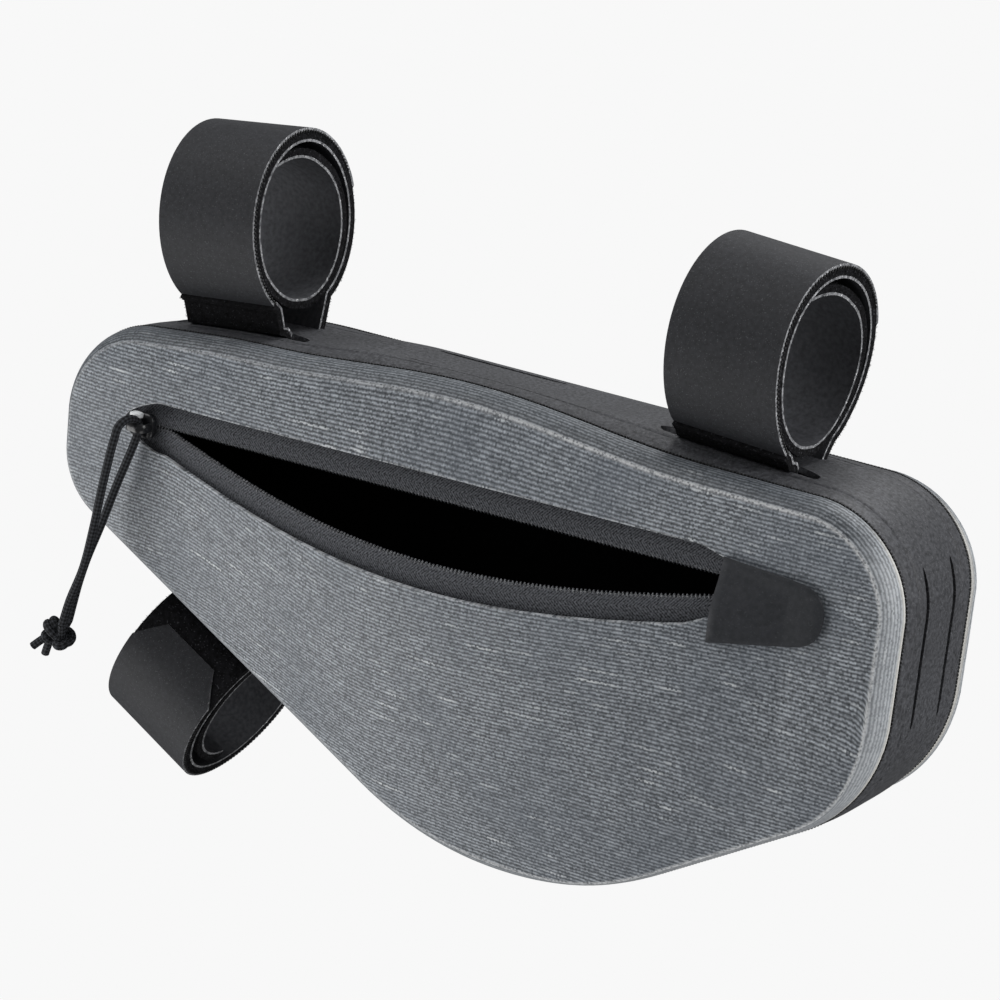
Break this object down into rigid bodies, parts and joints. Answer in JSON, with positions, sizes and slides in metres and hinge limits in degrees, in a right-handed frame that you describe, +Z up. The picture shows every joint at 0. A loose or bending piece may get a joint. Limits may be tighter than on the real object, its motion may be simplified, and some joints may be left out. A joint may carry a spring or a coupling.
{
  "type": "bicycle frame bag",
  "caption": "Flat soft bag with a rounded triangular outline, an open zip across its front, an edge band all round and hook-and-loop straps that hang it inside a bicycle frame.",
  "frame": {"origin": "on the crown of the edge band's straight top, midway between the walls, where the top tube lies", "axes": "+X along the top towards the deep end, +Y from the zipped front to the back, +Z up towards the top tube"},
  "size_m": [0.2688, 0.0671, 0.196],
  "materials": {
    "grey_cloth": "matte ribbed laminate",
    "band_rubber": "matte, finely grained",
    "zip_twill": "matte twill",
    "zip_nylon": "satin",
    "slider_metal": "satin black lacquer",
    "garage_rubber": "smooth satin",
    "braided_cord": "braided, matte",
    "loop_fuzz": "fuzzy loop pile",
    "hook_tape": "matte, lightly speckled"
  },
  "bodies": {
    "root": {"front_panel": "grey_cloth", "back_panel": "grey_cloth", "edge_band": "band_rubber", "zip_tape_upper": "zip_twill", "zip_coil_upper": "zip_nylon", "zip_tape_lower": "zip_twill", "zip_coil_lower": "zip_nylon", "zip_slider": "slider_metal", "zip_garage": "garage_rubber", "pull_cord_front": "braided_cord", "pull_cord_back": "braided_cord", "pull_cord_knot": "braided_cord", "strap_left_loop": "loop_fuzz", "strap_left_hook": "hook_tape", "strap_right_loop": "loop_fuzz", "strap_right_hook": "hook_tape", "strap_lower_loop": "loop_fuzz", "strap_lower_hook": "hook_tape"}
  },
  "joints": []
}
